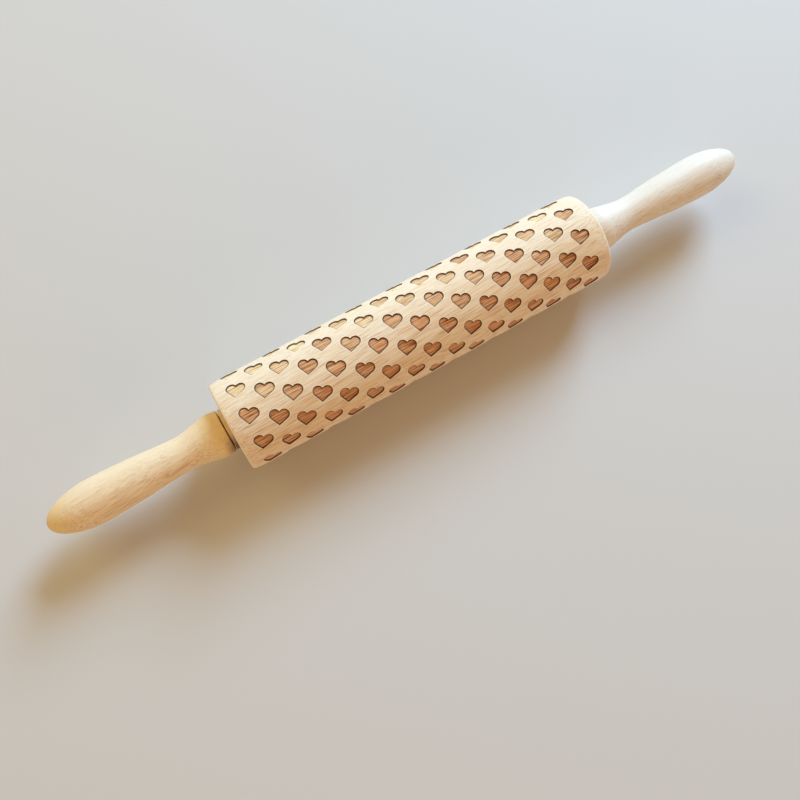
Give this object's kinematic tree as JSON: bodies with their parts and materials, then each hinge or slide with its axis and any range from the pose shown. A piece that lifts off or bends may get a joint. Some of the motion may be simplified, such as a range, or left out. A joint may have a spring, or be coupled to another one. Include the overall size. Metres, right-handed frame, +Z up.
{
  "type": "rolling pin",
  "caption": "Wooden rolling pin: a roller embossed all over with heart-shaped pockets spins on a steel rod between turned handles.",
  "frame": {"origin": "on the surface that the pin rests on, under the middle of the roller", "axes": "+X along the rod towards the right handle, +Z up, -Y towards the front"},
  "size_m": [0.436, 0.0514, 0.0514],
  "materials": {
    "roller_wood": "sanded bare beech, with the pockets scorched brown",
    "handle_wood": "sanded bare beech",
    "rod_steel": "drawn steel",
    "bush_plastic": "moulded beige plastic",
    "zinc_plate": "zinc plated steel",
    "insert_brass": "turned brass"
  },
  "bodies": {
    "handle_set": {"axle_rod": "rod_steel", "left_thrust_washer": "zinc_plate", "left_lock_nut": "zinc_plate", "left_threaded_insert": "insert_brass", "left_handle": "handle_wood", "right_thrust_washer": "zinc_plate", "right_lock_nut": "zinc_plate", "right_threaded_insert": "insert_brass", "right_handle": "handle_wood"},
    "roller_set": {"roller": "roller_wood", "left_bush": "bush_plastic", "right_bush": "bush_plastic"}
  },
  "joints": [
    {"name": "roller_spin", "type": "hinge", "parent": "handle_set", "child": "roller_set", "pos_m": [0, 0, 0.0257], "axis": [1, 0, 0], "continuous": true}
  ]
}
